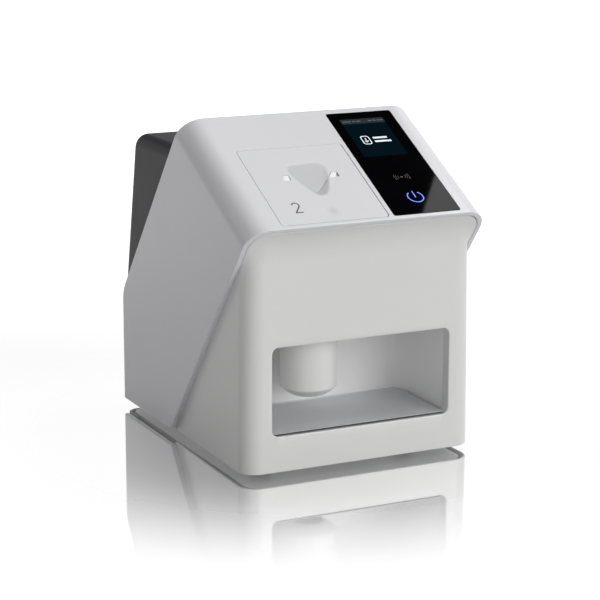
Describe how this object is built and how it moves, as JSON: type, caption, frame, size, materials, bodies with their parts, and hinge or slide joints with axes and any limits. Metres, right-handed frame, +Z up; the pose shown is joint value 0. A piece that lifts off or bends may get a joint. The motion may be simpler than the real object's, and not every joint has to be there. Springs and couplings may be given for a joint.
{
  "type": "intraoral image plate scanner",
  "caption": "Tabletop scanner for dental phosphor plates: sloping white hood with feed funnel and display strip, dark rear housing, front output bay with tray and plate chute.",
  "frame": {"origin": "centre of the bounding box's bottom, on the surface the feet stand on", "axes": "+Z up, -Y towards the user (the output bay), +X to the user's right"},
  "size_m": [0.21, 0.271, 0.2705],
  "materials": {
    "white_gloss": "glossy white moulded plastic",
    "white_satin": "satin white moulded plastic",
    "anthracite": "anthracite textured plastic",
    "grey_plastic": "mid grey moulded plastic",
    "black_plastic": "black moulded plastic",
    "black_glass": "black display glass, printed black behind",
    "clear_plastic": "frosted light guide",
    "rubber": "black rubber",
    "steel": "zinc plated steel",
    "aluminium": "bare sheet aluminium",
    "circuit_board": "green circuit board",
    "optical_glass": "polished optical glass"
  },
  "bodies": {
    "scanner": {"top_hood": "white_gloss", "front_panel": "white_satin", "bay_liner": "white_satin", "plate_chute": "white_satin", "rear_housing": "anthracite", "rear_end_panel": "anthracite", "base_plate": "grey_plastic", "cover_seat": "grey_plastic", "display_carrier": "grey_plastic", "display_glass": "black_glass", "lcd_module": "black_plastic", "touch_board": "circuit_board", "power_light_guide": "clear_plastic", "main_board": "circuit_board", "eraser_light_ring": "circuit_board", "heat_sink": "aluminium", "power_inlet": "black_plastic", "network_socket": "steel", "side_frame_left": "aluminium", "side_frame_right": "aluminium", "scanner_shelf": "aluminium", "roller_bracket_left": "aluminium", "roller_bracket_right": "aluminium", "scan_drum_lower": "black_plastic", "scan_drum_upper": "black_plastic", "plate_guide_left": "black_plastic", "plate_guide_right": "black_plastic", "spindle_motor": "steel", "photomultiplier": "steel", "laser_module": "aluminium", "high_voltage_supply": "steel", "transport_belt": "rubber", "timing_belt": "rubber", "motor_bracket": "steel", "stepper_motor": "steel", "foot_front_left": "rubber", "base_screw_front_left": "steel", "foot_front_right": "rubber", "base_screw_front_right": "steel", "foot_rear_left": "rubber", "base_screw_rear_left": "steel", "foot_rear_right": "rubber", "base_screw_rear_right": "steel"},
    "cover": {"plate_cover": "white_gloss", "edge_guide_left": "white_gloss", "edge_guide_right": "white_gloss"},
    "tray": {"output_tray": "grey_plastic"},
    "prism": {"prism_head": "optical_glass"},
    "drive_roller_body": {"drive_roller": "rubber", "drive_pulley": "aluminium"},
    "idler_roller_body": {"idler_roller": "rubber"},
    "motor_pulley_body": {"motor_pulley": "aluminium"}
  },
  "joints": [
    {"name": "cover_lift", "type": "slide", "parent": "scanner", "child": "cover", "axis": [0, -0.4695, 0.8829], "range_m": [0, 0.04]},
    {"name": "tray_slide", "type": "slide", "parent": "scanner", "child": "tray", "axis": [0, -1, 0], "range_m": [0, 0.07]},
    {"name": "prism_spin", "type": "hinge", "parent": "scanner", "child": "prism", "pos_m": [-0.026, -0.0775, 0.16], "axis": [0, 0, 1], "continuous": true},
    {"name": "drive_roller_spin", "type": "hinge", "parent": "scanner", "child": "drive_roller_body", "pos_m": [-0.026, -0.1032, 0.125], "axis": [1, 0, 0], "continuous": true},
    {"name": "idler_roller_spin", "type": "hinge", "parent": "scanner", "child": "idler_roller_body", "pos_m": [-0.026, -0.1032, 0.19], "axis": [1, 0, 0], "continuous": true},
    {"name": "motor_pulley_spin", "type": "hinge", "parent": "scanner", "child": "motor_pulley_body", "pos_m": [-0.056, -0.0465, 0.133], "axis": [1, 0, 0], "continuous": true}
  ],
  "couplings": [
    {"joint": "idler_roller_spin", "follows": "drive_roller_spin", "ratio": 1},
    {"joint": "motor_pulley_spin", "follows": "drive_roller_spin", "ratio": 1.5}
  ]
}
